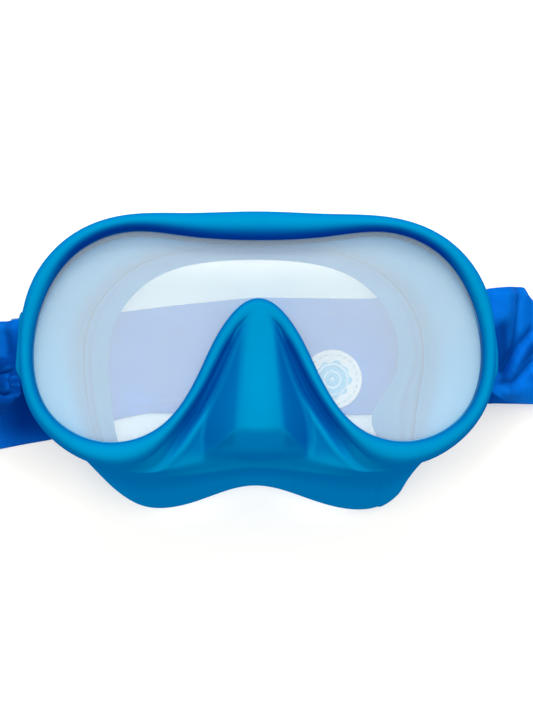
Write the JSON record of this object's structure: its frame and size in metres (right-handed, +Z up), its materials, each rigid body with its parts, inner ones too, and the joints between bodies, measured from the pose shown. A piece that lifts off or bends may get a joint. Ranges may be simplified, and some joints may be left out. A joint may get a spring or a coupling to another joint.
{
  "type": "diving mask",
  "caption": "One-window silicone diving mask with a moulded nose pocket, a curved face seal and side rings that hold a gathered fabric strap.",
  "frame": {"origin": "middle of the underside, where the folded strap lies on the table", "axes": "+X to the right as seen from the front, +Y towards the forehead, +Z up through the lens"},
  "size_m": [0.2576, 0.104, 0.078],
  "materials": {
    "skirt_silicone": "matte blue liquid silicone",
    "core_plastic": "hidden hard plastic, natural",
    "lens_glass": "clear toughened glass, bevelled edge",
    "film": "milky anti-fog film",
    "pin_steel": "stainless",
    "ring_plastic": "blue moulded nylon",
    "strap_fabric": "royal blue stretch jersey, double layer",
    "thread": "twisted polyester sewing thread",
    "badge_silicone": "matte white silicone",
    "badge_print": "pale blue raised ripple pattern, no text"
  },
  "bodies": {
    "mask": {"skirt": "skirt_silicone", "core_ring": "core_plastic", "lens": "lens_glass", "lens_film": "film", "hinge_sleeve_left": "core_plastic", "hinge_sleeve_right": "core_plastic", "strap": "strap_fabric", "badge": "badge_silicone", "badge_inlay": "badge_print", "badge_stitches": "thread"},
    "buckle_left": {"strap_ring_left": "ring_plastic", "hinge_pin_left": "pin_steel", "pin_clip_left": "pin_steel", "strap_tail_left": "strap_fabric", "tail_stitches_left": "thread"},
    "buckle_right": {"strap_ring_right": "ring_plastic", "hinge_pin_right": "pin_steel", "pin_clip_right": "pin_steel", "strap_tail_right": "strap_fabric", "tail_stitches_right": "thread"}
  },
  "joints": [
    {"name": "buckle_left_swivel", "type": "hinge", "parent": "mask", "child": "buckle_left", "pos_m": [-0.08, 0.006, 0.04], "axis": [0, 1, 0], "range_deg": [-25, 75]},
    {"name": "buckle_right_swivel", "type": "hinge", "parent": "mask", "child": "buckle_right", "pos_m": [0.08, 0.006, 0.04], "axis": [0, -1, 0], "range_deg": [-25, 75]}
  ]
}
